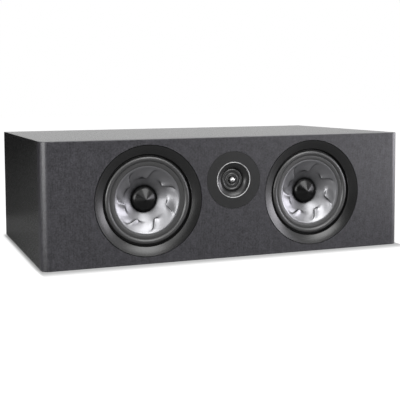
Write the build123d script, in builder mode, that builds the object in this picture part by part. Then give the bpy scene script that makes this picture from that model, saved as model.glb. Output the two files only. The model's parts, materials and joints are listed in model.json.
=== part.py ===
"""Center channel speaker: a wide vented cabinet with two swirl-cone woofers and a ring tweeter between them.

Millimetres. +X is right and +Z up as the listener sees it, and the front faces -Y.
The origin is the centre of the cabinet's footprint. Each driver is modelled in a frame of its own,
with its axis along +Y and the cabinet's front plane at y = 0, and is then moved to its place.
"""

import math
import os

from build123d import *

# Cabinet
WIDTH = 625.0
HEIGHT = 196.0
DEPTH = 370.0
BAFFLE_T = 25.0
PANEL_T = 18.0
BACK_T = 18.0
BACK_INSET = 4.0
FRONT_EDGE_R = 12.0
EASE_R = 1.2
BRACE_T = 15.0
BRACE_X = 66.0
BRACE_FRAME = 26.0
BRACE_WINDOW_R = 14.0
PAD_T = 20.0
PAD_EDGE_R = 5.0
PAD_HEIGHT = 130.0
PAD_LENGTH = 250.0

# Fits
SEAM = 0.3
GLUE = 0.05
SCREW_CLEAR = 0.1

# Woofer places and front ring
WOOFER_X = 143.5
WOOFER_Z = HEIGHT / 2 + 1.2
WOOFER_CUTOUT_R = 74.0
TRIM_R = 87.2
TRIM_GAP = 1.0
TRIM_INNER_R = 73.2
TRIM_SLOPE_D = 5.8
TRIM_CROWN = 0.5
TRIM_WALL = 2.0
TRIM_LIP_R = 0.4
TRIM_DEPTH = 9.5

# Woofer basket
FLANGE_R = 83.0
FLANGE_T = 4.0
GASKET_T = 1.5
GASKET_MARGIN = 0.3
LANDING_R = 71.1
LANDING_INNER_R = 68.2
LANDING_DROP = 1.6
BOWL_R = 71.6
BOWL_WALL = 3.2
LEDGE_R = 48.5
LEDGE_INNER_R = 41.0
LEDGE_D = 47.0
HUB_FLOOR_T = 4.0
HUB_HOLE_R = 20.0
HUB_DEPTH = 61.0
WINDOW_COUNT = 6
WINDOW_ARC = 40.0
WINDOW_MARGIN = 4.5

# Woofer screws
SCREW_COUNT = 6
SCREW_START = 30.0
SCREW_CIRCLE_R = 78.3
SCREW_R = 1.9
SCREW_HEAD_R = 4.0
SCREW_HEAD_T = 2.2
SCREW_LENGTH = 14.0

# Woofer surround, cone and dust cap
RUBBER_T = 0.9
ROLL_CENTRE_R = 65.6
ROLL_R = 4.7
BEAD_RISE = 0.7
BEAD_CROWN = 0.45
CONE_R = 54.2
CONE_RIM_W = 1.6
CONE_RIM_T = 1.4
CONE_RIM_R = 5.0
CONE_NECK_R = 16.5
CONE_RISE = 0.63
CONE_WALL = 1.8
BLADE_COUNT = 7
BLADE_HEIGHT = 6.2
BLADE_INNER_R = 34.0
BLADE_OUTER_R = 51.0
BLADE_PEAK = 0.40
BLADE_SWEEP = 20.0
BLADE_PHASE = -7.0
BLADE_FLANK = 0.16
BLADE_SECTIONS = 11
BLADE_RUNOUT = 0.05
GROOVE_DEPTH = 1.5
GROOVE_PEAK = 0.62
GROOVE_SPAN = 0.16
CAP_R = 22.2
CAP_HEIGHT = 11.5
CAP_SIDE = 1.5
CAP_SHOULDER_R = 11.0
CAP_T = 0.9
CAP_GLUE = 0.3

# Woofer coil and motor
FORMER_T = 0.3
FORMER_LENGTH = 40.0
FORMER_STANDOUT = 1.5
WINDING_T = 0.8
WINDING_LENGTH = 14.0
GAP_CLEAR = 0.5
SPIDER_T = 0.5
SPIDER_WAVE = 1.0
SPIDER_WAVES = 4
SPIDER_INNER_FLAT = 2.5
PLATE_R = 46.0
PLATE_T = 6.0
MAGNET_R = 50.0
MAGNET_INNER_R = 24.0
MAGNET_T = 18.0
YOKE_T = 6.0
POLE_VENT_R = 5.0

# Tweeter
TWEETER_Z = 126.0
TWEETER_R = 46.5
TWEETER_CUTOUT_R = 33.0
TWEETER_PLATE_T = 3.0
TWEETER_FLANGE_R = 45.0
TWEETER_FLANGE_T = 4.0
BEZEL_R = 29.5
BEZEL_W = 1.7
THROAT_R = 18.4
THROAT_D = 8.6
THROAT_LIP_D = 1.0
HORN_BACK_D = 9.5
FILM_T = 0.3
FILM_OUTER_R = 24.0
FILM_COIL_R = 12.5
FILM_COIL_W = 0.9
FILM_INNER_R = 6.4
FILM_ROLL_H = 2.3
FILM_HOLE_R = 3.2
PLUG_R = 6.0
PLUG_TIP_D = 1.2
PLUG_STEM_R = 2.8
PLUG_STEM_LENGTH = 6.5
TWEETER_COIL_T = 0.5
TWEETER_COIL_LENGTH = 3.6
TWEETER_GAP = 0.45
TWEETER_MOTOR_R = 30.0
TWEETER_STEEL_T = 3.0
TWEETER_MAGNET_INNER_R = 17.0
TWEETER_MAGNET_T = 8.0
TWEETER_VENT_R = 3.0
CHAMBER_R = 26.0
CHAMBER_LENGTH = 20.0
CHAMBER_WALL = 1.5
TWEETER_SCREW_COUNT = 4
TWEETER_SCREW_START = 45.0
TWEETER_SCREW_CIRCLE_R = 39.5

# Port on the back
PORT_Z = HEIGHT / 2
PORT_R = 31.0
PORT_WALL = 2.5
PORT_LENGTH = 140.0
PORT_FLARE_R = 14.0
PORT_FLANGE_R = 51.0
PORT_FLANGE_T = 3.0

# Terminal cup and binding posts on the back
CUP_X = 175.0
CUP_Z = HEIGHT / 2
CUP_W = 100.0
CUP_H = 76.0
CUP_CORNER_R = 9.0
CUP_FLANGE_T = 3.0
CUP_SCREW_INSET = 6.5
CUP_WALL = 2.5
RECESS_W = 72.0
RECESS_H = 50.0
RECESS_DEPTH = 24.0
RECESS_CORNER_R = 7.0
POST_PITCH = 19.0
POST_R = 3.9
POST_COLLAR_R = 6.5
POST_COLLAR_T = 3.0
POST_TAIL = 12.0
POST_TAIL_R = 3.0
POST_LENGTH = 18.5
BANANA_R = 2.05
BANANA_DEPTH = 16.0
NUT_R = 7.2
NUT_LENGTH = 14.0
NUT_CLEAR = 0.07
NUT_FLUTES = 14
NUT_FLUTE_R = 0.8
NUT_FACE_GAP = 0.3

# Crossover
BOARD_W = 108.0
BOARD_L = 130.0
BOARD_T = 1.6
BOARD_CORNER_R = 3.0
BOARD_Y = 80.0
STANDOFF_H = 8.0
STANDOFF_R = 3.5
STANDOFF_INSET = 6.0
LOW_COIL_R = 24.0
LOW_COIL_CORE_R = 12.0
LOW_COIL_H = 20.0
HIGH_COIL_R = 16.0
HIGH_COIL_CORE_R = 8.0
HIGH_COIL_H = 14.0
COIL_EDGE_R = 2.0
CAN_EDGE_R = 1.5
LOW_CAN_R = 10.0
LOW_CAN_L = 36.0
HIGH_CAN_R = 9.0
HIGH_CAN_L = 32.0
RESISTOR_W = 10.0
RESISTOR_L = 48.0
RESISTOR_H = 9.0
COIL_ROW_Y = BOARD_Y - 33.0
CAN_ROW_Y = BOARD_Y + 34.0
LOW_SIDE_X = -27.0
HIGH_COIL_X = 30.0
HIGH_CAN_X = 2.0
RESISTOR_X = 34.0

FRONT_Y = -DEPTH / 2
BACK_FACE_Y = DEPTH / 2 - BACK_INSET
BACK_INNER_Y = BACK_FACE_Y - BACK_T
REBATE_D = TRIM_DEPTH + FLANGE_T + GASKET_T
LIP_BACK_D = TRIM_DEPTH + LANDING_DROP
LIP_FRONT_D = LIP_BACK_D - RUBBER_T
RIM_D = LIP_FRONT_D - CONE_RIM_T
RIM_INNER_R = CONE_R - CONE_RIM_W
CONE_BACK_R = RIM_INNER_R + (CONE_WALL - CONE_RIM_T) / CONE_RISE
FORMER_R = CONE_NECK_R - GLUE
FORMER_INNER_R = FORMER_R - FORMER_T
WINDING_R = FORMER_R + WINDING_T
NECK_D = RIM_D + (RIM_INNER_R - CONE_NECK_R) * CONE_RISE
TWEETER_REBATE_D = TWEETER_PLATE_T + TWEETER_FLANGE_T
BEZEL_INNER_R = BEZEL_R - BEZEL_W
FILM_BACK_D = HORN_BACK_D + FILM_T
TWEETER_PLATE_BACK_D = FILM_BACK_D + TWEETER_STEEL_T
TWEETER_MAGNET_BACK_D = TWEETER_PLATE_BACK_D + TWEETER_MAGNET_T
TWEETER_BACK_D = TWEETER_MAGNET_BACK_D + TWEETER_STEEL_T
CUP_SCREW_PITCH = (CUP_W - 2 * CUP_SCREW_INSET, CUP_H - 2 * CUP_SCREW_INSET)
RECESS_FLOOR_Y = BACK_FACE_Y + CUP_FLANGE_T - RECESS_DEPTH
BOARD_Z = PANEL_T + STANDOFF_H
BOARD_TOP_Z = BOARD_Z + BOARD_T


def at_depth(depth):
    """The sketch plane across a driver's axis at that depth, seen from the front."""
    return Plane.XZ.offset(-depth)


def turned(outline):
    """A solid of revolution about a driver's axis from (radius, depth) corner points."""
    with BuildPart() as piece:
        with BuildSketch():
            with BuildLine():
                Polyline(*outline, close=True)
            make_face()
        revolve(axis=Axis.Y)
    return piece.part


def ring(inner_r, outer_r, front_d, back_d):
    """A plain ring or, with no inner radius, a disc, between two depths."""
    with BuildPart() as piece:
        with BuildSketch(at_depth(front_d)):
            Circle(outer_r)
            if inner_r:
                Circle(inner_r, mode=Mode.SUBTRACT)
        extrude(amount=-(back_d - front_d))
    return piece.part


def save(part, name, place=None):
    """Writes one node, moved to its place."""
    solid = part.moved(place) if place else part
    solid.label = name
    export_step(solid, f"parts/{name}.step")


def woofer_screw_circle():
    """The places of a woofer's screws round its axis."""
    return PolarLocations(SCREW_CIRCLE_R, SCREW_COUNT, start_angle=SCREW_START)


def tweeter_screw_circle():
    """The places of the tweeter's screws round its axis."""
    return PolarLocations(TWEETER_SCREW_CIRCLE_R, TWEETER_SCREW_COUNT, start_angle=TWEETER_SCREW_START)


def cone_depth(radius):
    """Depth of the cone's plain front face at a radius."""
    return RIM_D + (RIM_INNER_R - radius) * CONE_RISE


# Cabinet

def front_baffle():
    front_rim_r = TRIM_R + TRIM_GAP
    tweeter_rim_r = TWEETER_R + SEAM
    with BuildPart() as baffle:
        with BuildSketch(Plane.XZ.offset(-FRONT_Y)):
            with Locations((0, HEIGHT / 2)):
                Rectangle(WIDTH, HEIGHT)
        extrude(amount=-BAFFLE_T)
        uprights = baffle.edges().filter_by(Axis.Z).group_by(Axis.Y)[0]
        fillet(uprights, FRONT_EDGE_R)
        front_edges = baffle.faces().sort_by(Axis.Y)[0].edges().filter_by(Axis.X)
        fillet(front_edges, EASE_R)
        with Locations(Plane.XZ.offset(-FRONT_Y)):
            with Locations((-WOOFER_X, WOOFER_Z), (WOOFER_X, WOOFER_Z)):
                CounterBoreHole(WOOFER_CUTOUT_R, front_rim_r, REBATE_D)
                with woofer_screw_circle():
                    Hole(SCREW_R + SCREW_CLEAR, TRIM_DEPTH + SCREW_LENGTH + SEAM)
            with Locations((0, TWEETER_Z)):
                CounterBoreHole(TWEETER_CUTOUT_R, tweeter_rim_r, TWEETER_REBATE_D)
                with tweeter_screw_circle():
                    Hole(SCREW_R + SCREW_CLEAR, TWEETER_PLATE_T + SCREW_LENGTH + SEAM)
    return baffle.part


def wrap_panel(half_run, name, place):
    """One mitred board of the wrap, its outer face up, with eased outer edges."""
    eased = EASE_R * (1 - math.sqrt(0.5))
    length = DEPTH - BAFFLE_T
    with BuildPart() as board:
        with BuildSketch(Plane.XZ.offset(-(FRONT_Y + BAFFLE_T))):
            with BuildLine():
                inner = Line((half_run - PANEL_T, -PANEL_T), (-half_run + PANEL_T, -PANEL_T))
                left_tip = (-half_run + eased, -eased)
                left_mitre = Line(inner @ 1, left_tip)
                left_ease = RadiusArc(left_mitre @ 1, (-half_run + EASE_R, 0), EASE_R)
                outer = Line(left_ease @ 1, (half_run - EASE_R, 0))
                right_ease = RadiusArc(outer @ 1, (half_run - eased, -eased), EASE_R)
                Line(right_ease @ 1, inner @ 0)
            make_face()
        extrude(amount=-length)
    save(board.part, name, place)


def back_panel():
    with BuildPart() as panel:
        with BuildSketch(Plane.XZ.offset(-BACK_INNER_Y)):
            with Locations((0, HEIGHT / 2)):
                Rectangle(WIDTH - 2 * PANEL_T, HEIGHT - 2 * PANEL_T)
            with Locations((0, PORT_Z)):
                Circle(PORT_R + PORT_FLARE_R + SEAM, mode=Mode.SUBTRACT)
            with Locations((CUP_X, CUP_Z)):
                RectangleRounded(
                    RECESS_W + 2 * CUP_WALL + 2 * SEAM,
                    RECESS_H + 2 * CUP_WALL + 2 * SEAM,
                    RECESS_CORNER_R + CUP_WALL,
                    mode=Mode.SUBTRACT,
                )
        extrude(amount=-BACK_T)
        with Locations(cup_front()):
            with GridLocations(*CUP_SCREW_PITCH, 2, 2):
                Hole(SCREW_R + SCREW_CLEAR, SCREW_LENGTH + SEAM)
    return panel.part


def window_brace():
    """An upright board with two windows, standing on x = 0."""
    length = BACK_INNER_Y - (FRONT_Y + BAFFLE_T)
    height = HEIGHT - 2 * PANEL_T
    window_l = (length - 3 * BRACE_FRAME) / 2
    window_h = height - 2 * BRACE_FRAME
    with BuildPart() as brace:
        with BuildSketch(Plane.YZ.offset(-BRACE_T / 2)):
            with Locations((FRONT_Y + BAFFLE_T + length / 2, HEIGHT / 2)):
                Rectangle(length, height)
                with GridLocations(window_l + BRACE_FRAME, 0, 2, 1):
                    RectangleRounded(window_l, window_h, BRACE_WINDOW_R, mode=Mode.SUBTRACT)
        extrude(amount=BRACE_T)
    return brace.part


def damping_pad():
    """A foam pad against the inside of a side board, its glued face on x = 0."""
    with BuildPart() as pad:
        with Locations((0, 0, HEIGHT / 2)):
            Box(PAD_T, PAD_LENGTH, PAD_HEIGHT, align=(Align.MIN, Align.CENTER, Align.CENTER))
        fillet(pad.faces().sort_by(Axis.X)[-1].edges(), PAD_EDGE_R)
    return pad.part


def save_cabinet():
    save(front_baffle(), "front_baffle")
    wrap_panel(WIDTH / 2, "top_panel", Location((0, 0, HEIGHT)))
    wrap_panel(WIDTH / 2, "bottom_panel", Location((0, 0, 0), (0, 180, 0)))
    wrap_panel(HEIGHT / 2, "left_side_panel", Location((-WIDTH / 2, 0, HEIGHT / 2), (0, -90, 0)))
    wrap_panel(HEIGHT / 2, "right_side_panel", Location((WIDTH / 2, 0, HEIGHT / 2), (0, 90, 0)))
    save(back_panel(), "back_panel")
    inner_side_x = WIDTH / 2 - PANEL_T
    for side, sign in (("left", -1), ("right", 1)):
        save(window_brace(), f"{side}_window_brace", Location((sign * BRACE_X, 0, 0)))
        turn = 0 if sign < 0 else 180
        save(damping_pad(), f"{side}_damping_pad", Location((sign * inner_side_x, 0, 0), (0, 0, turn)))


# Woofers

def trim_ring():
    """The crowned ring round a woofer, hollow behind, with a crisp inner lip."""
    lip_r = TRIM_INNER_R + TRIM_LIP_R
    mid = ((TRIM_R + lip_r) / 2, TRIM_SLOPE_D / 2 - TRIM_CROWN)
    under_out = (TRIM_R - TRIM_WALL, TRIM_WALL)
    under_in = (TRIM_INNER_R + TRIM_WALL, TRIM_SLOPE_D + TRIM_WALL)
    with BuildPart() as piece:
        with BuildSketch():
            with BuildLine():
                slope = ThreePointArc((TRIM_R, 0), mid, (lip_r, TRIM_SLOPE_D))
                lip = RadiusArc(slope @ 1, (TRIM_INNER_R, TRIM_SLOPE_D + TRIM_LIP_R), TRIM_LIP_R)
                Polyline(
                    lip @ 1,
                    (TRIM_INNER_R, TRIM_DEPTH),
                    (under_in[0], TRIM_DEPTH),
                    under_in,
                    under_out,
                    (under_out[0], REBATE_D),
                    (TRIM_R, REBATE_D),
                    slope @ 0,
                )
            make_face()
        revolve(axis=Axis.Y)
    return piece.part


def basket():
    """The cast frame: flange, windowed bowl, spider ledge and hub floor."""
    hub_r = LEDGE_R + BOWL_WALL
    flange_back_d = TRIM_DEPTH + FLANGE_T
    floor_d = HUB_DEPTH - HUB_FLOOR_T
    outline = [
        (LANDING_R, TRIM_DEPTH),
        (FLANGE_R, TRIM_DEPTH),
        (FLANGE_R, flange_back_d),
        (BOWL_R, flange_back_d),
        (hub_r, LEDGE_D),
        (hub_r, HUB_DEPTH),
        (HUB_HOLE_R, HUB_DEPTH),
        (HUB_HOLE_R, floor_d),
        (LEDGE_INNER_R, floor_d),
        (LEDGE_INNER_R, LEDGE_D),
        (LEDGE_R, LEDGE_D),
        (LANDING_INNER_R, flange_back_d),
        (LANDING_INNER_R, LIP_BACK_D),
        (LANDING_R, LIP_BACK_D),
    ]
    window = [
        (LEDGE_R - BOWL_WALL, flange_back_d + WINDOW_MARGIN),
        (FLANGE_R, flange_back_d + WINDOW_MARGIN),
        (FLANGE_R, LEDGE_D - WINDOW_MARGIN),
        (LEDGE_R - BOWL_WALL, LEDGE_D - WINDOW_MARGIN),
    ]
    with BuildPart() as frame:
        with BuildSketch():
            with BuildLine():
                Polyline(*outline, close=True)
            make_face()
        revolve(axis=Axis.Y)
        for step in range(WINDOW_COUNT):
            with BuildSketch(Plane.XY.rotated((0, step * 360 / WINDOW_COUNT, 0))):
                with BuildLine():
                    Polyline(*window, close=True)
                make_face()
            revolve(axis=Axis.Y, revolution_arc=WINDOW_ARC, mode=Mode.SUBTRACT)
        with Locations(at_depth(TRIM_DEPTH)):
            with woofer_screw_circle():
                CounterSinkHole(SCREW_R + SCREW_CLEAR, SCREW_HEAD_R + SCREW_CLEAR, FLANGE_T)
    return frame.part


def flange_gasket():
    with BuildPart() as gasket:
        with BuildSketch(at_depth(TRIM_DEPTH + FLANGE_T)):
            Circle(FLANGE_R - GASKET_MARGIN)
            Circle(WOOFER_CUTOUT_R + GASKET_MARGIN, mode=Mode.SUBTRACT)
            with woofer_screw_circle():
                Circle(SCREW_R + GASKET_MARGIN, mode=Mode.SUBTRACT)
        extrude(amount=-GASKET_T)
    return gasket.part


def flat_head_screw():
    """A wood screw with its head flush at y = 0 and its point towards +y."""
    return turned([
        (0, 0),
        (SCREW_HEAD_R, 0),
        (SCREW_R, SCREW_HEAD_T),
        (SCREW_R, SCREW_LENGTH - 2 * SCREW_R),
        (0, SCREW_LENGTH),
    ])


def screws_at(plane, places):
    """Flat-head screws driven into a plane from its front."""
    screw = flat_head_screw().moved(Location((0, 0, 0), (-90, 0, 0)))
    return [screw.moved(plane.location * place) for place in places]


def surround():
    """Rubber half roll with a flat outer lip, and inside it a low bead that laps under the cone's rim."""
    inner_r = CONE_BACK_R + GLUE
    bead_r = CONE_R + SEAM
    hollow_r = ROLL_R - RUBBER_T
    lip_edge_r = LANDING_R - SEAM
    groove_d = RIM_D - BEAD_RISE
    groove_r = ROLL_CENTRE_R - math.sqrt(ROLL_R**2 - (LIP_FRONT_D - groove_d) ** 2)
    bead_mid = ((bead_r + groove_r) / 2, (RIM_D + groove_d) / 2 - BEAD_CROWN)
    with BuildPart() as roll:
        with BuildSketch():
            with BuildLine():
                Polyline(
                    (ROLL_CENTRE_R + hollow_r, LIP_FRONT_D),
                    (ROLL_CENTRE_R + hollow_r, LIP_BACK_D),
                    (lip_edge_r, LIP_BACK_D),
                    (lip_edge_r, LIP_FRONT_D),
                    (ROLL_CENTRE_R + ROLL_R, LIP_FRONT_D),
                )
                ThreePointArc(
                    (ROLL_CENTRE_R + ROLL_R, LIP_FRONT_D),
                    (ROLL_CENTRE_R, LIP_FRONT_D - ROLL_R),
                    (groove_r, groove_d),
                )
                ThreePointArc((groove_r, groove_d), bead_mid, (bead_r, RIM_D))
                Polyline(
                    (bead_r, RIM_D),
                    (bead_r, LIP_FRONT_D),
                    (inner_r, LIP_FRONT_D),
                    (inner_r, LIP_BACK_D),
                    (ROLL_CENTRE_R - hollow_r, LIP_BACK_D),
                    (ROLL_CENTRE_R - hollow_r, LIP_FRONT_D),
                )
                ThreePointArc(
                    (ROLL_CENTRE_R - hollow_r, LIP_FRONT_D),
                    (ROLL_CENTRE_R, LIP_FRONT_D - hollow_r),
                    (ROLL_CENTRE_R + hollow_r, LIP_FRONT_D),
                )
            make_face()
        revolve(axis=Axis.Y)
    return roll.part


def eased(share):
    """A soft step from 0 to 1, held at its ends."""
    held = min(max(share, 0), 1)
    return held * held * (3 - 2 * held)


def swell(share, peak):
    """Rises softly from 0 at the inner end of a blade's run to 1 at its peak, then falls to 0 again."""
    if share < peak:
        return eased(share / peak)
    return eased((1 - share) / (1 - peak))


def blade_profile(turn):
    """Height across one blade: a long hollow ramp down from the crest, then a short flank up to the next."""
    foot = 1 - BLADE_FLANK
    if turn < foot:
        return (1 - turn / foot) ** 3
    return eased((turn - foot) / BLADE_FLANK)


def groove_profile(turn):
    """Depth of the groove along the foot of a blade's flank."""
    foot = 1 - BLADE_FLANK
    if turn < foot:
        return eased(1 - (foot - turn) / GROOVE_SPAN)
    return eased(1 - (turn - foot) / BLADE_FLANK)


def bowl_section(share):
    """Points of the bowl's wall at one depth, from share 0 at the blades' deep end to 1 at the other."""
    radius = BLADE_INNER_R + share * (BLADE_OUTER_R - BLADE_INNER_R)
    height = BLADE_HEIGHT * swell(share, BLADE_PEAK)
    groove = GROOVE_DEPTH * swell(share, GROOVE_PEAK)
    lead = BLADE_PHASE - BLADE_SWEEP * share
    foot = 1 - BLADE_FLANK
    stops = (0, 0.1, 0.25, 0.45, foot - GROOVE_SPAN, foot - GROOVE_SPAN / 2, foot, foot + BLADE_FLANK / 2)
    points = []
    for blade in range(BLADE_COUNT):
        for stop in stops:
            angle = math.radians(lead + (blade + stop) * 360 / BLADE_COUNT)
            reach = radius - height * blade_profile(stop) + groove * groove_profile(stop)
            points.append((reach * math.cos(angle), reach * math.sin(angle)))
    return points


def swirl_cone():
    """The cone: a dished shell whose front face is cut by a bowl with seven swept blades."""
    inner_d = cone_depth(BLADE_INNER_R)
    outer_d = cone_depth(BLADE_OUTER_R)
    blank = [
        (CONE_NECK_R, RIM_D),
        (CONE_R, RIM_D),
        (CONE_R, LIP_FRONT_D),
        (CONE_BACK_R, LIP_FRONT_D),
        (CONE_NECK_R, NECK_D + CONE_WALL),
    ]
    plain_parts = (
        [(0, RIM_D), (RIM_INNER_R, RIM_D), (BLADE_OUTER_R + BLADE_RUNOUT, outer_d), (0, outer_d)],
        [(0, inner_d), (BLADE_INNER_R - BLADE_RUNOUT, inner_d), (CONE_NECK_R, NECK_D), (0, NECK_D)],
    )
    with BuildPart() as cone:
        with BuildSketch():
            with BuildLine():
                Polyline(*blank, close=True)
            make_face()
        revolve(axis=Axis.Y)
        for outline in plain_parts:
            with BuildSketch():
                with BuildLine():
                    Polyline(*outline, close=True)
                make_face()
            revolve(axis=Axis.Y, mode=Mode.SUBTRACT)
        rim_edge = cone.edges().group_by(Axis.Y)[0].sort_by(SortBy.RADIUS)[0]
        fillet(rim_edge, CONE_RIM_R)
        for step in range(BLADE_SECTIONS):
            share = step / (BLADE_SECTIONS - 1)
            depth = inner_d + share * (outer_d - inner_d)
            with BuildSketch(at_depth(depth)):
                with BuildLine():
                    Spline(*bowl_section(share), periodic=True)
                make_face()
        loft(mode=Mode.SUBTRACT)
    return cone.part


def dust_cap():
    """A pointed cap on the cone's plain inner part: round shoulder and low conical top, hollow behind."""
    base_d = cone_depth(CAP_R) - CAP_GLUE
    side_d = base_d - CAP_SIDE
    apex_d = base_d - CAP_HEIGHT
    deep_d = base_d + CAP_SHOULDER_R
    glue_d = cone_depth(0) - CAP_GLUE
    with BuildPart() as cap:
        with BuildSketch():
            for wall, mode in ((0, Mode.ADD), (CAP_T, Mode.SUBTRACT)):
                with BuildLine():
                    dome = FilletPolyline(
                        (CAP_R - wall, deep_d),
                        (CAP_R - wall, side_d + wall),
                        (0, apex_d + wall),
                        radius=CAP_SHOULDER_R - wall,
                    )
                    Polyline(dome @ 1, (0, deep_d), dome @ 0)
                make_face(mode=mode)
            with BuildLine():
                Polyline((CAP_R, base_d), (0, glue_d), (CAP_R, glue_d), close=True)
            make_face(mode=Mode.SUBTRACT)
        revolve(axis=Axis.Y)
    return cap.part


def spider():
    """Corrugated cloth disc from the coil former out to the basket's ledge."""
    inner_r = FORMER_R + GLUE
    outer_r = LEDGE_R - SEAM
    wave_in = inner_r + SPIDER_INNER_FLAT
    wave_out = LEDGE_INNER_R - SEAM
    half = (wave_out - wave_in) / (2 * SPIDER_WAVES)
    front_d = LEDGE_D - SPIDER_T
    with BuildPart() as cloth:
        with BuildSketch():
            with BuildLine():
                for face_d in (front_d, LEDGE_D):
                    for step in range(2 * SPIDER_WAVES):
                        start_r = wave_in + step * half
                        crest_d = face_d + SPIDER_WAVE * (-1) ** step
                        end_r = start_r + half
                        ThreePointArc((start_r, face_d), (start_r + half / 2, crest_d), (end_r, face_d))
                Polyline((wave_out, front_d), (outer_r, front_d), (outer_r, LEDGE_D), (wave_out, LEDGE_D))
                Polyline((wave_in, front_d), (inner_r, front_d), (inner_r, LEDGE_D), (wave_in, LEDGE_D))
            make_face()
        revolve(axis=Axis.Y)
    return cloth.part


def woofer_yoke():
    """Back plate and pole in one turned piece, with a vent through the pole."""
    plate_back_d = HUB_DEPTH + PLATE_T + MAGNET_T
    pole_r = FORMER_INNER_R - GAP_CLEAR
    return turned([
        (POLE_VENT_R, HUB_DEPTH),
        (pole_r, HUB_DEPTH),
        (pole_r, plate_back_d),
        (PLATE_R, plate_back_d),
        (PLATE_R, plate_back_d + YOKE_T),
        (POLE_VENT_R, plate_back_d + YOKE_T),
    ])


def woofer_pieces():
    """Each piece of one woofer by name, in the driver's own frame."""
    former_front_d = NECK_D - FORMER_STANDOUT
    gap_mid_d = HUB_DEPTH + PLATE_T / 2
    magnet_d = HUB_DEPTH + PLATE_T
    winding_d = gap_mid_d - WINDING_LENGTH / 2
    return {
        "trim_ring": trim_ring(),
        "basket": basket(),
        "gasket": flange_gasket(),
        "surround": surround(),
        "cone": swirl_cone(),
        "dust_cap": dust_cap(),
        "coil_former": ring(FORMER_INNER_R, FORMER_R, former_front_d, former_front_d + FORMER_LENGTH),
        "coil_winding": ring(FORMER_R, WINDING_R, winding_d, winding_d + WINDING_LENGTH),
        "spider": spider(),
        "top_plate": ring(WINDING_R + GAP_CLEAR, PLATE_R, HUB_DEPTH, magnet_d),
        "magnet": ring(MAGNET_INNER_R, MAGNET_R, magnet_d, magnet_d + MAGNET_T),
        "yoke": woofer_yoke(),
    }


def save_woofers():
    pieces = woofer_pieces()
    screws = []
    for side, x in (("left", -WOOFER_X), ("right", WOOFER_X)):
        place = Location((x, FRONT_Y, WOOFER_Z))
        for name, piece in pieces.items():
            save(piece, f"{side}_woofer_{name}", place)
        for screw in screws_at(at_depth(TRIM_DEPTH), woofer_screw_circle()):
            screws.append(screw.moved(place))
    save(Compound(children=screws), "woofer_screws")


# Tweeter

def tweeter_chassis():
    """Mounting flange and short horn in one moulding."""
    with BuildPart() as chassis:
        with BuildSketch():
            with BuildLine():
                lip = Line((BEZEL_INNER_R - SEAM, TWEETER_PLATE_T), (BEZEL_INNER_R - SEAM, THROAT_LIP_D))
                horn = Spline(
                    lip @ 1,
                    (THROAT_R, THROAT_D),
                    tangents=((-1, 0.25), (-0.25, 1)),
                )
                Polyline(
                    horn @ 1,
                    (THROAT_R, HORN_BACK_D),
                    (TWEETER_MOTOR_R, HORN_BACK_D),
                    (TWEETER_MOTOR_R, TWEETER_REBATE_D),
                    (TWEETER_FLANGE_R, TWEETER_REBATE_D),
                    (TWEETER_FLANGE_R, TWEETER_PLATE_T),
                    lip @ 0,
                )
            make_face()
        revolve(axis=Axis.Y)
        with Locations(at_depth(TWEETER_PLATE_T)):
            with tweeter_screw_circle():
                CounterSinkHole(SCREW_R + SCREW_CLEAR, SCREW_HEAD_R + SCREW_CLEAR, TWEETER_FLANGE_T)
    return chassis.part


def tweeter_bezel():
    """Narrow bright ring with a rounded front."""
    with BuildPart() as bezel:
        with BuildSketch():
            with BuildLine():
                crown = ThreePointArc(
                    (BEZEL_R, BEZEL_W / 2),
                    (BEZEL_R - BEZEL_W / 2, 0),
                    (BEZEL_INNER_R, BEZEL_W / 2),
                )
                Polyline(
                    crown @ 1,
                    (BEZEL_INNER_R, TWEETER_PLATE_T),
                    (BEZEL_R, TWEETER_PLATE_T),
                    crown @ 0,
                )
            make_face()
        revolve(axis=Axis.Y)
    return bezel.part


def ring_diaphragm():
    """Thin film with two concentric rolls, held at its rim and at its centre."""
    coil_out = FILM_COIL_R + FILM_COIL_W / 2
    coil_in = FILM_COIL_R - FILM_COIL_W / 2
    stops = ((THROAT_R, coil_out), (coil_in, FILM_INNER_R))
    with BuildPart() as film:
        with BuildSketch():
            with BuildLine():
                Polyline((FILM_HOLE_R, FILM_BACK_D), (FILM_HOLE_R, HORN_BACK_D), (FILM_INNER_R, HORN_BACK_D))
                for far, near in stops:
                    top = ((far + near) / 2, HORN_BACK_D - FILM_ROLL_H)
                    under = ((far + near) / 2, FILM_BACK_D - FILM_ROLL_H)
                    ThreePointArc((near, HORN_BACK_D), top, (far, HORN_BACK_D))
                    ThreePointArc((near, FILM_BACK_D), under, (far, FILM_BACK_D))
                Line((coil_in, HORN_BACK_D), (coil_out, HORN_BACK_D))
                Line((coil_in, FILM_BACK_D), (coil_out, FILM_BACK_D))
                Polyline(
                    (THROAT_R, HORN_BACK_D),
                    (FILM_OUTER_R, HORN_BACK_D),
                    (FILM_OUTER_R, FILM_BACK_D),
                    (THROAT_R, FILM_BACK_D),
                )
                Line((FILM_INNER_R, FILM_BACK_D), (FILM_HOLE_R, FILM_BACK_D))
            make_face()
        revolve(axis=Axis.Y)
    return film.part


def phase_plug():
    """Bullet in the middle of the diaphragm, with a stem into the pole."""
    with BuildPart() as plug:
        with BuildSketch():
            with BuildLine():
                nose = Spline(
                    (0, PLUG_TIP_D),
                    (PLUG_R, HORN_BACK_D),
                    tangents=((1, 0.15), (0.15, 1)),
                )
                Polyline(
                    nose @ 1,
                    (PLUG_STEM_R, HORN_BACK_D),
                    (PLUG_STEM_R, HORN_BACK_D + PLUG_STEM_LENGTH),
                    (0, HORN_BACK_D + PLUG_STEM_LENGTH),
                    nose @ 0,
                )
            make_face()
        revolve(axis=Axis.Y)
    return plug.part


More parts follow.
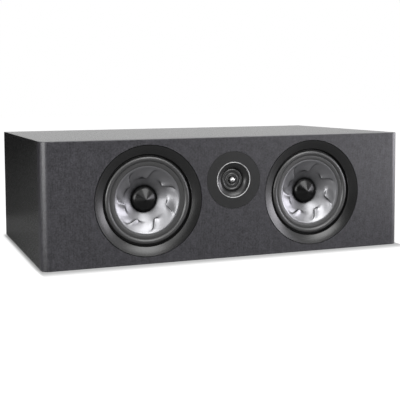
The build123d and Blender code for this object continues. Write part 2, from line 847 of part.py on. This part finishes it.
def tweeter_yoke():
    pole_r = FILM_COIL_R - TWEETER_COIL_T / 2 - TWEETER_GAP
    return turned([
        (TWEETER_VENT_R, FILM_BACK_D),
        (pole_r, FILM_BACK_D),
        (pole_r, TWEETER_MAGNET_BACK_D),
        (TWEETER_MOTOR_R, TWEETER_MAGNET_BACK_D),
        (TWEETER_MOTOR_R, TWEETER_BACK_D),
        (TWEETER_VENT_R, TWEETER_BACK_D),
    ])


def rear_chamber():
    """Closed cup behind the tweeter's motor."""
    return turned([
        (CHAMBER_R - CHAMBER_WALL, TWEETER_BACK_D),
        (CHAMBER_R, TWEETER_BACK_D),
        (CHAMBER_R, TWEETER_BACK_D + CHAMBER_LENGTH),
        (0, TWEETER_BACK_D + CHAMBER_LENGTH),
        (0, TWEETER_BACK_D + CHAMBER_LENGTH - CHAMBER_WALL),
        (CHAMBER_R - CHAMBER_WALL, TWEETER_BACK_D + CHAMBER_LENGTH - CHAMBER_WALL),
    ])


def save_tweeter():
    place = Location((0, FRONT_Y, TWEETER_Z))
    coil_in = FILM_COIL_R - TWEETER_COIL_T / 2
    coil_out = FILM_COIL_R + TWEETER_COIL_T / 2
    coil_d = FILM_BACK_D + GLUE
    pieces = {
        "trim_plate": ring(BEZEL_R + GLUE, TWEETER_R, 0, TWEETER_PLATE_T),
        "bezel": tweeter_bezel(),
        "chassis": tweeter_chassis(),
        "diaphragm": ring_diaphragm(),
        "phase_plug": phase_plug(),
        "voice_coil": ring(coil_in, coil_out, coil_d, coil_d + TWEETER_COIL_LENGTH),
        "top_plate": ring(coil_out + TWEETER_GAP, TWEETER_MOTOR_R, FILM_BACK_D, TWEETER_PLATE_BACK_D),
        "magnet": ring(
            TWEETER_MAGNET_INNER_R, TWEETER_MOTOR_R, TWEETER_PLATE_BACK_D, TWEETER_MAGNET_BACK_D
        ),
        "yoke": tweeter_yoke(),
        "rear_chamber": rear_chamber(),
    }
    for name, piece in pieces.items():
        save(piece, f"tweeter_{name}", place)
    screws = screws_at(at_depth(TWEETER_PLATE_T), tweeter_screw_circle())
    save(Compound(children=[screw.moved(place) for screw in screws]), "tweeter_screws")


# Back fittings

def port_tube():
    """Flared tube, its axis along Y, with the flange's outer face at y = 0 and the tube towards -y."""
    flare_end = -PORT_FLARE_R
    outer_r = PORT_R + PORT_WALL
    mouth_r = PORT_R + PORT_FLARE_R
    swing = math.sqrt(0.5)
    outer_mid = (
        mouth_r - (PORT_FLARE_R - PORT_WALL) * swing,
        flare_end + (PORT_FLARE_R - PORT_FLANGE_T) * swing,
    )
    with BuildPart() as tube:
        with BuildSketch():
            with BuildLine():
                flare = ThreePointArc(
                    (mouth_r, 0),
                    (mouth_r - PORT_FLARE_R * swing, flare_end + PORT_FLARE_R * swing),
                    (PORT_R, flare_end),
                )
                Polyline(flare @ 1, (PORT_R, -PORT_LENGTH), (outer_r, -PORT_LENGTH), (outer_r, flare_end))
                ThreePointArc((outer_r, flare_end), outer_mid, (mouth_r, -PORT_FLANGE_T))
                Polyline(
                    (mouth_r, -PORT_FLANGE_T),
                    (PORT_FLANGE_R, -PORT_FLANGE_T),
                    (PORT_FLANGE_R, 0),
                    flare @ 0,
                )
            make_face()
        revolve(axis=Axis.Y)
    return tube.part


def cup_front():
    """The plane of the terminal cup's outer face, facing away from the cabinet."""
    return Plane(origin=(CUP_X, BACK_FACE_Y + CUP_FLANGE_T, CUP_Z), x_dir=(-1, 0, 0), z_dir=(0, 1, 0))


def terminal_cup():
    """Moulded plate with a rounded rectangular recess and two post holes in its floor."""
    with BuildPart() as cup:
        with BuildSketch(Plane.XZ.offset(-BACK_FACE_Y)):
            with Locations((CUP_X, CUP_Z)):
                RectangleRounded(CUP_W, CUP_H, CUP_CORNER_R)
        extrude(amount=-CUP_FLANGE_T)
        with BuildSketch(Plane.XZ.offset(-(RECESS_FLOOR_Y - CUP_WALL))):
            with Locations((CUP_X, CUP_Z)):
                RectangleRounded(
                    RECESS_W + 2 * CUP_WALL,
                    RECESS_H + 2 * CUP_WALL,
                    RECESS_CORNER_R + CUP_WALL,
                )
        extrude(amount=-(RECESS_DEPTH + CUP_WALL - CUP_FLANGE_T))
        with BuildSketch(Plane.XZ.offset(-RECESS_FLOOR_Y)):
            with Locations((CUP_X, CUP_Z)):
                RectangleRounded(RECESS_W, RECESS_H, RECESS_CORNER_R)
        extrude(amount=-RECESS_DEPTH, mode=Mode.SUBTRACT)
        with BuildSketch(Plane.XZ.offset(-(RECESS_FLOOR_Y - CUP_WALL))):
            with Locations((CUP_X, CUP_Z)):
                with GridLocations(POST_PITCH, 0, 2, 1):
                    Circle(POST_TAIL_R + SCREW_CLEAR)
        extrude(amount=-CUP_WALL, mode=Mode.SUBTRACT)
        with Locations(cup_front()):
            with GridLocations(*CUP_SCREW_PITCH, 2, 2):
                CounterSinkHole(SCREW_R + SCREW_CLEAR, SCREW_HEAD_R + SCREW_CLEAR, CUP_FLANGE_T)
    return cup.part


def post_stud():
    """Binding post stud with its collar's inner face at y = 0 and the banana bore at the +y end."""
    collar_y = POST_COLLAR_T
    end_y = POST_COLLAR_T + POST_LENGTH
    return turned([
        (0, -POST_TAIL),
        (POST_TAIL_R, -POST_TAIL),
        (POST_TAIL_R, 0),
        (POST_COLLAR_R, 0),
        (POST_COLLAR_R, collar_y),
        (POST_R, collar_y),
        (POST_R, end_y),
        (BANANA_R, end_y),
        (BANANA_R, end_y - BANANA_DEPTH),
        (0, end_y - BANANA_DEPTH),
    ])


def thumb_nut():
    """Fluted nut on a post, in the stud's frame."""
    start_y = POST_COLLAR_T + NUT_FACE_GAP
    with BuildPart() as nut:
        with BuildSketch(at_depth(start_y)):
            Circle(NUT_R)
            with PolarLocations(NUT_R, NUT_FLUTES):
                Circle(NUT_FLUTE_R, mode=Mode.SUBTRACT)
        extrude(amount=-NUT_LENGTH)
        with BuildSketch(at_depth(start_y)):
            Circle(POST_R + NUT_CLEAR)
        extrude(amount=-NUT_LENGTH, mode=Mode.SUBTRACT)
    return nut.part


def save_back():
    save(port_tube(), "port_tube", Location((0, BACK_FACE_Y + PORT_FLANGE_T, PORT_Z)))
    save(terminal_cup(), "terminal_cup")
    stud, nut = post_stud(), thumb_nut()
    for name, sign in (("red", -1), ("black", 1)):
        place = Location((CUP_X + sign * POST_PITCH / 2, RECESS_FLOOR_Y, CUP_Z))
        save(stud, f"{name}_post_stud", place)
        save(nut, f"{name}_thumb_nut", place)
    screws = screws_at(cup_front(), GridLocations(*CUP_SCREW_PITCH, 2, 2))
    save(Compound(children=screws), "terminal_screws")


# Crossover

def air_coil(outer_r, inner_r, height):
    with BuildPart() as coil:
        with BuildSketch():
            Circle(outer_r)
            Circle(inner_r, mode=Mode.SUBTRACT)
        extrude(amount=height)
        fillet(coil.edges().filter_by(GeomType.CIRCLE).group_by(SortBy.RADIUS)[-1], COIL_EDGE_R)
    return coil.part


def film_capacitor(radius, length):
    """A wound can lying along Y, resting on z = 0."""
    with BuildPart() as can:
        with BuildSketch(Plane.XZ.offset(length / 2)):
            with Locations((0, radius)):
                Circle(radius)
        extrude(amount=-length)
        fillet(can.edges().filter_by(GeomType.CIRCLE), CAN_EDGE_R)
    return can.part


def save_crossover():
    with BuildPart() as board:
        with BuildSketch(Plane.XY.offset(BOARD_Z)):
            with Locations((0, BOARD_Y)):
                Rectangle(BOARD_W, BOARD_L)
        extrude(amount=BOARD_T)
        fillet(board.edges().filter_by(Axis.Z), BOARD_CORNER_R)
    save(board.part, "crossover_board")
    with BuildPart() as standoffs:
        with BuildSketch(Plane.XY.offset(PANEL_T)):
            with Locations((0, BOARD_Y)):
                with GridLocations(BOARD_W - 2 * STANDOFF_INSET, BOARD_L - 2 * STANDOFF_INSET, 2, 2):
                    Circle(STANDOFF_R)
        extrude(amount=STANDOFF_H)
    save(standoffs.part, "crossover_standoffs")
    low_coil = air_coil(LOW_COIL_R, LOW_COIL_CORE_R, LOW_COIL_H)
    high_coil = air_coil(HIGH_COIL_R, HIGH_COIL_CORE_R, HIGH_COIL_H)
    save(low_coil, "low_pass_inductor", Location((LOW_SIDE_X, COIL_ROW_Y, BOARD_TOP_Z)))
    save(high_coil, "high_pass_inductor", Location((HIGH_COIL_X, COIL_ROW_Y, BOARD_TOP_Z)))
    low_can = film_capacitor(LOW_CAN_R, LOW_CAN_L)
    high_can = film_capacitor(HIGH_CAN_R, HIGH_CAN_L)
    save(low_can, "low_pass_capacitor", Location((LOW_SIDE_X, CAN_ROW_Y, BOARD_TOP_Z)))
    save(high_can, "high_pass_capacitor", Location((HIGH_CAN_X, CAN_ROW_Y, BOARD_TOP_Z)))
    with BuildPart() as resistor:
        with Locations((RESISTOR_X, CAN_ROW_Y, BOARD_TOP_Z)):
            Box(RESISTOR_W, RESISTOR_L, RESISTOR_H, align=(Align.CENTER, Align.CENTER, Align.MIN))
    save(resistor.part, "level_resistor")


def main():
    os.makedirs("parts", exist_ok=True)
    save_cabinet()
    save_woofers()
    save_tweeter()
    save_back()
    save_crossover()


main()
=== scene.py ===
"""Dresses the center channel speaker: a paint for every piece, bending rubber, camera, light and floor."""
import json
import math

import bpy
import numpy as np
from mathutils import Matrix, Vector


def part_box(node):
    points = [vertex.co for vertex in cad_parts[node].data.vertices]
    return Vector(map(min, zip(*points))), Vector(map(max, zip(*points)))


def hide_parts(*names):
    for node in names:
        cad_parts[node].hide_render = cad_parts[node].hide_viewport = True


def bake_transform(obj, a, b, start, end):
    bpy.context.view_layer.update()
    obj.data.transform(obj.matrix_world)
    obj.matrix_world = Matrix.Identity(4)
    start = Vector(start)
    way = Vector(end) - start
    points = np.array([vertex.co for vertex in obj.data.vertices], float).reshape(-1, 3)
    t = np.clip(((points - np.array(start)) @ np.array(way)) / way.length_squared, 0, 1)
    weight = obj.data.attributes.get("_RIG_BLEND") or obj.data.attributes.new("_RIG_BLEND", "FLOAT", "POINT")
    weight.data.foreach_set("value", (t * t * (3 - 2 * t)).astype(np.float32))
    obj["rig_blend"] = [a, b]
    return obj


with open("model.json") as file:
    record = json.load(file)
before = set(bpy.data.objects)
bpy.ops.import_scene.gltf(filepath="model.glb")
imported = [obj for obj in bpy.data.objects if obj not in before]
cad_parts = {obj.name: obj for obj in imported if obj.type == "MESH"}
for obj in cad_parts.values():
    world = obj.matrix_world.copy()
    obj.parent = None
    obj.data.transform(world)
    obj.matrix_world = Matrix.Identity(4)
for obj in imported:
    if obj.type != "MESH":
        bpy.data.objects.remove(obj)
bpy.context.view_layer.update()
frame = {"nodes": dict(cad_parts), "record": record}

MM = 0.001
NODES = frame["nodes"]
SLOT_OF = {part["node"]: part["material_slot"] for part in frame["record"]["subparts"]}

# How far each bending piece follows its coil or cone, as (radius in mm, share) stops
SURROUND_BEND = ((60.8, 1.0), (70.2, 0.0))
SPIDER_BEND = ((19.0, 1.0), (40.7, 0.0))
FILM_BEND = ((6.4, 0.0), (12.05, 1.0), (12.95, 1.0), (18.4, 0.0))

# Vinyl foil: sizes in mm, tones as shares of the colour, and the noise levels they lie between
STREAK = 2.2
STREAK_STRETCH = 14
PEBBLE = 2.6
BLOTCH = 7
FOIL_DETAIL = 3
FOIL_DEPTH = 0.10
FOIL_TONES = (0.45, 1.6)
FOIL_LEVELS = (0.36, 0.64)
FOIL_ROUGH_SPREAD = 0.06

# Satin: its slow change of tone in mm, tones and roughness as shares, and the noise levels they lie between
CLOUD = 14
SATIN_TONES = (0.86, 1.12)
SATIN_ROUGH = (0.9, 1.12)
NOISE_LEVELS = (0.3, 0.7)

# Satin with painted shade in its creases: grain in mm, share of the slow change, tones as shares, and the
# openness levels that the painted shade lies between
CREASE_GRAIN = 0.6
CREASE_DEPTH = 0.006
CREASE_CLOUD = 0.15
CREASE_SHADE_TONES = (0.12, 1.1)
CREASE_SHADE_LEVELS = (0.60, 0.90)

# Camera, in mm, degrees and pixels of the square picture
PICTURE = 400.0
CAMERA_AT = (-537.4, -1431.6, 267.0)
CAMERA_AZIMUTH = 21.02
CAMERA_ELEVATION = -3.88
CAMERA_ROLL = -0.37
FOCAL_PX = 842.3
CENTRE_ROW = 150.0
SENSOR = 36.0

# Nearest and furthest that the lens sees, in metres
LENS_NEAR = 0.01
LENS_FAR = 50

# Floor and its painted contact shadow, in metres and levels of white
FLOOR_SIZE = 12.0
FLOOR_Y = 2.0
FLOOR_DROP = 0.0003
FLOOR_MATTE = 0.25
SHADOW_Y = -0.01
SHADOW_HALF = (0.3125, 0.175, 0.0)
SHADOW_REACH = (0.010, 0.05, 1.0)
SHADOW_LEVEL = 0.24

# Strength of the world where it isn't looked at
AIR_LIGHT = 0.12

# Greys of the studio cards, and their turns in degrees
CARD_GREYS = {"black": 0.02, "dim": 0.3, "dark": 0.2}
CARD_ROUGH = 0.9
LYING = (0, 0, 0)
ACROSS = (90, 0, 0)
ALONG = (90, 0, 90)

# Studio cards in metres: name, grey, width and height, place, turn, whether it shades what is behind it
CARDS = (
    ("front_card", "black", (2.9, 1.45), (-0.45, -2.6, 0.725), ACROSS, False),
    ("floor_card", "dim", (1.05, 2.42), (0, -1.40, 0.002), LYING, False),
    ("left_card", "black", (1.9, 1.8), (-1.9, 1.45, 0.9), ALONG, False),
    ("back_left_card", "black", (1.9, 1.8), (-1.15, 2.2, 0.9), ACROSS, False),
    ("side_floor_card", "dark", (0.5, 0.6), (-0.55, 0.11, 0.002), LYING, False),
    ("left_floor_card", "black", (1.6, 1.8), (-1.1, 1.31, 0.002), LYING, False),
    ("top_flag", "black", (3.7, 0.7), (0.07, -0.18, 0.56), ACROSS, True),
)

# Soft lamps in metres: name, width and height, place, target, radiance, tint
WHITE = (1, 1, 1)
COOL = (0.95, 0.93, 1.0)
LAMPS = (
    ("key_softbox", (1.1, 1.05), (0.5, -1.57, 1.36), (0, -0.18, 0.1), 7.5, WHITE),
    ("fill_softbox", (1.2, 0.7), (-0.89, -1.54, 1.16), (-0.1, -0.18, 0.1), 2.1, WHITE),
    ("top_softbox", (1.8, 1.4), (0, -0.1, 1.5), (0, 0, 0.1), 2.35, WHITE),
    ("left_softbox", (1.45, 0.8), (-1.60, -1.0, 0.40), (-0.3, -0.18, 0.1), 7.4, WHITE),
    ("right_softbox", (1.38, 0.5), (1.73, -0.85, 0.25), (0, -0.18, 0.1), 8.8, COOL),
)


class Paint:
    """A procedural material: one Principled shader and the textures that feed it."""

    def __init__(self, name, metallic=0.0, specular=0.5):
        self.material = bpy.data.materials.new(name)
        self.material.use_nodes = True
        self.tree = self.material.node_tree
        self.shader = self.tree.nodes["Principled BSDF"]
        self.shader.inputs["Metallic"].default_value = metallic
        self.shader.inputs["Specular IOR Level"].default_value = specular

    def add(self, kind, **inputs):
        """A new node, each input set to a value or joined to another node's output."""
        node = self.tree.nodes.new("ShaderNode" + kind)
        for key, value in inputs.items():
            if isinstance(value, bpy.types.NodeSocket):
                self.tree.links.new(value, node.inputs[key])
            else:
                node.inputs[key].default_value = value
        return node

    def feed(self, socket, value):
        self.tree.links.new(value, self.shader.inputs[socket])

    def noise(self, size, detail=2.0, stretch=(1, 1, 1)):
        """Noise with lumps of about that size in mm, stretched along the axes."""
        place = self.add("TexCoord").outputs["Object"]
        scaled = self.add("Mapping", Vector=place, Scale=[1 / s for s in stretch]).outputs["Vector"]
        return self.add("TexNoise", Vector=scaled, Scale=1 / (size * MM), Detail=detail).outputs["Fac"]

    def mix(self, first, second, share=0.5):
        return self.add("Mix", Factor=share, A=first, B=second).outputs["Result"]

    def ramp(self, value, levels, colours):
        """From the first colour to the second while the value goes from the first level to the second."""
        node = self.add("ValToRGB", Fac=value)
        for element, level, colour in zip(node.color_ramp.elements, levels, colours):
            element.position = level
            element.color = (*colour, 1)
        return node.outputs["Color"]

    def tint(self, colour, value, levels, shares):
        """The colour, between a dark and a pale share of itself."""
        tones = [tuple(channel * share for channel in colour) for share in shares]
        self.feed("Base Color", self.ramp(value, levels, tones))

    def roughen(self, value, roughs):
        self.feed("Roughness", self.ramp(value, NOISE_LEVELS, [grey(rough) for rough in roughs]))

    def bump(self, height, depth):
        """Relief of that depth in mm."""
        self.feed("Normal", self.add("Bump", Height=height, Distance=depth * MM).outputs["Normal"])


def grey(level):
    return (level, level, level)


def grain_vinyl(name, colour, along, rough):
    """Dark foil with a fine pebble and faint streaks along one axis."""
    paint = Paint(name)
    stretch = [1, 1, 1]
    stretch["xyz".index(along)] = STREAK_STRETCH
    streak = paint.noise(STREAK, FOIL_DETAIL, stretch)
    pebble = paint.noise(PEBBLE, FOIL_DETAIL)
    blotch = paint.noise(BLOTCH)
    grain = paint.mix(paint.mix(streak, pebble), paint.mix(pebble, blotch))
    paint.tint(colour, grain, FOIL_LEVELS, FOIL_TONES)
    paint.roughen(pebble, (rough - FOIL_ROUGH_SPREAD, rough + FOIL_ROUGH_SPREAD))
    paint.bump(grain, FOIL_DEPTH)
    return paint.material


def satin(name, colour, rough, size=0.7, depth=0.02, metallic=0.0, specular=0.5):
    """A fine-textured satin surface, painted, moulded or bare metal; size and depth in mm."""
    paint = Paint(name, metallic, specular)
    fine = paint.noise(size)
    paint.tint(colour, paint.noise(CLOUD), NOISE_LEVELS, SATIN_TONES)
    paint.roughen(fine, [rough * share for share in SATIN_ROUGH])
    paint.bump(fine, depth)
    return paint.material


def crease_shaded(name, colour, rough, reach, metallic=0.0, specular=0.5):
    """A satin surface with painted shade: its colour is darker in its creases, within that reach in mm of
    another face.
    """
    paint = Paint(name, metallic, specular)
    fine = paint.noise(CREASE_GRAIN)
    # Painted shade: ambient occlusion darkens the colour within the reach of other faces
    corner = paint.add("AmbientOcclusion", Distance=reach * MM).outputs["AO"]
    shade_and_cloud = paint.mix(corner, paint.noise(CLOUD), CREASE_CLOUD)
    paint.tint(colour, shade_and_cloud, CREASE_SHADE_LEVELS, CREASE_SHADE_TONES)
    paint.roughen(fine, [rough * share for share in SATIN_ROUGH])
    paint.bump(fine, CREASE_DEPTH)
    return paint.material


def make_paints():
    """Each material slot's paint."""
    return {
        "baffle_finish": grain_vinyl("baffle_vinyl", (0.026, 0.0253, 0.029), "z", 0.34),
        "cabinet_finish": grain_vinyl("cabinet_vinyl", grey(0.020), "y", 0.30),
        "back_finish": grain_vinyl("back_vinyl", grey(0.03), "x", 0.45),
        "raw_board": satin("raw_board", (0.36, 0.25, 0.15), 0.8, 1.2, 0.1),
        "pad_foam": satin("pad_foam", grey(0.12), 0.95, 2.0, 0.6),
        "trim_satin": satin("trim_satin", grey(0.004), 0.30, 0.7, 0.01, specular=0.46),
        "basket_cast": satin("basket_cast", grey(0.003), 0.8, 1.5, 0.08, specular=0.1),
        "gasket_foam": satin("gasket_foam", grey(0.02), 0.9, 0.6, 0.1),
        # Painted shade darkens the surround and cone colour in their creases and near other faces
        "surround_rubber": crease_shaded("surround_rubber", grey(0.024), 0.38, 12, specular=0.65),
        "cone_silver": crease_shaded("cone_silver", (0.187, 0.187, 0.194), 0.37, 24, metallic=1.0),
        "cap_gloss": satin("cap_gloss", grey(0.002), 0.24, 3.0, 0.002, specular=0.26),
        "former_metal": satin("former_metal", grey(0.7), 0.4, 1, 0.02, metallic=1.0),
        "copper_wire": satin("copper_wire", (0.75, 0.36, 0.18), 0.35, 0.4, 0.05, metallic=1.0),
        "spider_cloth": satin("spider_cloth", (0.5, 0.38, 0.2), 0.9, 0.5, 0.1),
        "motor_steel": satin("motor_steel", (0.45, 0.45, 0.43), 0.42, 1.5, 0.03, metallic=1.0),
        "ferrite": satin("ferrite", grey(0.05), 0.7, 0.8, 0.05),
        "tweeter_satin": satin("tweeter_satin", grey(0.006), 0.42, specular=0.42),
        "bezel_bright": satin("bezel_bright", grey(0.36), 0.4, 3.0, 0.001, metallic=0.7),
        "horn_black": satin("horn_black", grey(0.010), 0.3, specular=0.36),
        "film_black": satin("film_black", grey(0.03), 0.24, 0.6, 0.004),
        "plug_silver": satin("plug_silver", grey(0.52), 0.24, 0.5, 0.004, metallic=1.0),
        "chamber_black": satin("chamber_black", grey(0.02), 0.5),
        "board_green": satin("board_green", (0.03, 0.13, 0.06), 0.5, 2.0, 0.02),
        "can_film": satin("can_film", (0.55, 0.35, 0.05), 0.35, 1.0, 0.02),
        "resistor_ceramic": satin("resistor_ceramic", grey(0.7), 0.8, 0.6, 0.05),
        "port_black": satin("port_black", grey(0.02), 0.45, 0.6, 0.03),
        "cup_black": satin("cup_black", grey(0.02), 0.5, 0.6, 0.04),
        "post_metal": satin("post_metal", (0.75, 0.62, 0.32), 0.28, 0.6, 0.005, metallic=1.0),
        "red_nut": satin("red_nut", (0.5, 0.02, 0.02), 0.35, 0.6, 0.01),
        "black_nut": satin("black_nut", grey(0.02), 0.35, 0.6, 0.01),
        "screw_black": satin("screw_black", grey(0.03), 0.4, 0.6, 0.01, metallic=1.0),
    }


def add_bending(node, body, stops):
    """A bending twin of a ring: it stays with the cabinet or follows the body, as the stops say."""
    solid = NODES[node]
    low, high = (Vector(corner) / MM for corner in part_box(node))
    centre = (low + high) / 2
    mesh = solid.data.copy()
    mesh.transform(solid.matrix_world)
    piece = bpy.data.objects.new(node + "_bending", mesh)
    bpy.context.scene.collection.objects.link(piece)
    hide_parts(node)
    still = (centre + Vector((stops[-1][0], 0, 0))) * MM
    moving = (centre + Vector((stops[-2][0], 0, 0))) * MM
    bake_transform(piece, "cabinet", body, still, moving)
    places = np.empty(len(mesh.vertices) * 3)
    mesh.vertices.foreach_get("co", places)
    places = places.reshape(-1, 3) / MM
    radius = np.hypot(places[:, 0] - centre.x, places[:, 2] - centre.z)
    share = np.interp(radius, *zip(*stops))
    weight = share * share * (3 - 2 * share)
    mesh.attributes["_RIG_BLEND"].data.foreach_set("value", weight.astype(np.float32))


# Paint every piece and add the bending ones
paints = make_paints()
for node, piece in NODES.items():
    piece.data.materials.clear()
    piece.data.materials.append(paints[SLOT_OF[node]])
for side in ("left", "right"):
    add_bending(f"{side}_woofer_surround", f"{side}_cone", SURROUND_BEND)
    add_bending(f"{side}_woofer_spider", f"{side}_cone", SPIDER_BEND)
add_bending("tweeter_diaphragm", "tweeter_coil", FILM_BEND)


def shown_white(tree):
    """A socket that is 1 where a camera, glossy or transmission ray looks, else 0."""
    path = tree.nodes.new("ShaderNodeLightPath")
    looked_at = path.outputs["Is Camera Ray"]
    for other in ("Is Glossy Ray", "Is Transmission Ray"):
        either = tree.nodes.new("ShaderNodeMath")
        either.operation = "MAXIMUM"
        tree.links.new(looked_at, either.inputs[0])
        tree.links.new(path.outputs[other], either.inputs[1])
        looked_at = either.outputs[0]
    return looked_at


def plane(name, width, depth, place, turn=LYING):
    mesh = bpy.data.meshes.new(name)
    w, d = width / 2, depth / 2
    mesh.from_pydata([(-w, -d, 0), (w, -d, 0), (w, d, 0), (-w, d, 0)], [], [(0, 1, 2, 3)])
    piece = bpy.data.objects.new(name, mesh)
    piece.location = place
    piece.rotation_euler = [math.radians(angle) for angle in turn]
    bpy.context.scene.collection.objects.link(piece)
    return piece


def floor_paint():
    """White paper: its matte part takes the real shadow, a painted contact shadow dims its glow near the
    speaker, and it is plain white further off.
    """
    material = bpy.data.materials.new("floor_white")
    material.use_nodes = True
    tree = material.node_tree
    nodes, links = tree.nodes, tree.links
    nodes.remove(nodes["Principled BSDF"])
    place = nodes.new("ShaderNodeTexCoord").outputs["Object"]
    for operation, other in (
        ("SUBTRACT", (0.0, SHADOW_Y - FLOOR_Y, 0.0)),
        ("ABSOLUTE", None),
        ("SUBTRACT", SHADOW_HALF),
        ("MAXIMUM", (0.0, 0.0, 0.0)),
        ("DIVIDE", SHADOW_REACH),
    ):
        step = nodes.new("ShaderNodeVectorMath")
        step.operation = operation
        links.new(place, step.inputs[0])
        if other:
            step.inputs[1].default_value = other
        place = step.outputs[0]
    reach = nodes.new("ShaderNodeVectorMath")
    reach.operation = "LENGTH"
    links.new(place, reach.inputs[0])
    # Painted contact shadow: the glow dims from SHADOW_LEVEL at the footprint to full white at the reach
    level = nodes.new("ShaderNodeMapRange")
    level.interpolation_type = "SMOOTHSTEP"
    links.new(reach.outputs["Value"], level.inputs["Value"])
    level.inputs["To Min"].default_value = SHADOW_LEVEL
    shown = nodes.new("ShaderNodeMath")
    shown.operation = "MULTIPLY"
    links.new(shown_white(tree), shown.inputs[0])
    links.new(level.outputs["Result"], shown.inputs[1])
    glow = nodes.new("ShaderNodeEmission")
    links.new(shown.outputs[0], glow.inputs["Strength"])
    matte = nodes.new("ShaderNodeBsdfDiffuse")
    matte.inputs["Color"].default_value = (*grey(FLOOR_MATTE), 1)
    both = nodes.new("ShaderNodeAddShader")
    links.new(matte.outputs[0], both.inputs[0])
    links.new(glow.outputs[0], both.inputs[1])
    links.new(both.outputs[0], nodes["Material Output"].inputs["Surface"])
    return material


def card_paint(name, level):
    material = bpy.data.materials.new(name)
    material.use_nodes = True
    shader = material.node_tree.nodes["Principled BSDF"]
    shader.inputs["Base Color"].default_value = (*grey(level), 1)
    shader.inputs["Roughness"].default_value = CARD_ROUGH
    return material


def add_card(name, paint, size, place, turn, shades):
    """A dark studio card that the lens doesn't see; it is seen in what the object mirrors."""
    piece = plane(name, *size, place, turn)
    piece.data.materials.append(paint)
    piece.visible_camera = False
    piece.visible_shadow = shades


def add_lamp(name, size, place, target, radiance, tint):
    """A soft rectangular lamp of that radiance, turned to its target."""
    width, height = size
    lamp = bpy.data.lights.new(name, "AREA")
    lamp.shape = "RECTANGLE"
    lamp.size, lamp.size_y = width, height
    lamp.energy = radiance * math.pi * width * height
    lamp.color = tint
    piece = bpy.data.objects.new(name, lamp)
    piece.location = place
    piece.rotation_euler = (Vector(target) - Vector(place)).to_track_quat("-Z", "Y").to_euler()
    bpy.context.scene.collection.objects.link(piece)


def studio_air():
    """A white surround for eyes and mirrors, which lights the object only faintly."""
    world = bpy.data.worlds.new("studio")
    bpy.context.scene.world = world
    world.use_nodes = True
    tree = world.node_tree
    air = tree.nodes["Background"]
    air.inputs["Color"].default_value = (1, 1, 1, 1)
    level = tree.nodes.new("ShaderNodeMapRange")
    tree.links.new(shown_white(tree), level.inputs["Value"])
    level.inputs["To Min"].default_value = AIR_LIGHT
    tree.links.new(level.outputs["Result"], air.inputs["Strength"])


def photo_camera():
    """The camera that took the picture, fitted to the cabinet's corners."""
    azimuth = math.radians(CAMERA_AZIMUTH)
    elevation = math.radians(CAMERA_ELEVATION)
    roll = math.radians(CAMERA_ROLL)
    ahead = Vector((
        math.sin(azimuth) * math.cos(elevation),
        math.cos(azimuth) * math.cos(elevation),
        math.sin(elevation),
    ))
    across = Vector((math.cos(azimuth), -math.sin(azimuth), 0))
    upward = across.cross(ahead)
    right = math.cos(roll) * across + math.sin(roll) * upward
    up = -math.sin(roll) * across + math.cos(roll) * upward
    lens = bpy.data.cameras.new("photo_camera")
    lens.sensor_width = SENSOR
    lens.lens = FOCAL_PX / PICTURE * SENSOR
    lens.shift_y = (CENTRE_ROW - PICTURE / 2) / PICTURE
    lens.clip_start, lens.clip_end = LENS_NEAR, LENS_FAR
    camera = bpy.data.objects.new("photo_camera", lens)
    turn = Matrix((right, up, -ahead)).transposed().to_4x4()
    camera.matrix_world = Matrix.Translation(Vector(CAMERA_AT) * MM) @ turn
    bpy.context.scene.collection.objects.link(camera)
    bpy.context.scene.camera = camera


# Floor, cards, lamps and camera
floor = plane("floor", FLOOR_SIZE, FLOOR_SIZE, (0, FLOOR_Y, -FLOOR_DROP))
floor.data.materials.append(floor_paint())
card_paints = {name: card_paint("card_" + name, level) for name, level in CARD_GREYS.items()}
for name, paint, *rest in CARDS:
    add_card(name, card_paints[paint], *rest)
for lamp in LAMPS:
    add_lamp(*lamp)
studio_air()
photo_camera()
bpy.context.scene.view_settings.view_transform = "Standard"
